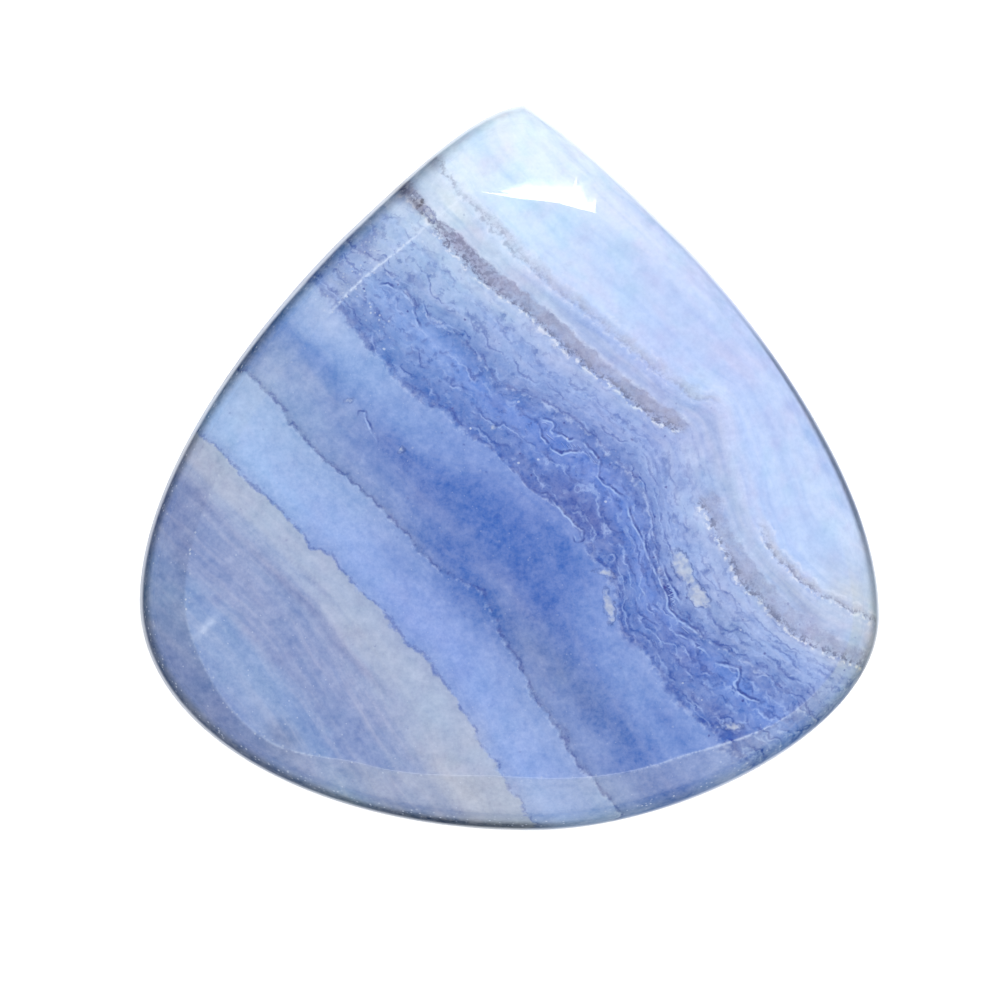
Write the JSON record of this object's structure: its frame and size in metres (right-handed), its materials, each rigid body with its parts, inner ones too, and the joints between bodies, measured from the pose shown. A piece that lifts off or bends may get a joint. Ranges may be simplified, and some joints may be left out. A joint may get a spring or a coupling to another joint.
{
  "type": "blue lace agate heart",
  "caption": "Polished blue lace agate cabochon, cut to a broad heart with one tip, with a low domed face, a ground bevel and a flat back to rest on or glue down.",
  "frame": {"origin": "under the middle of the stone's outline, on the plane of its flat back", "axes": "+Z out of the domed face, +Y towards the heart's tip, +X across its width to the right as seen from the face"},
  "size_m": [0.035, 0.0342, 0.006],
  "materials": {
    "agate": "polished banded blue lace agate: chalk grey, periwinkle, deep blue lace, mauve and pale sky layers"
  },
  "bodies": {
    "root": {"agate_heart": "agate"}
  },
  "joints": []
}
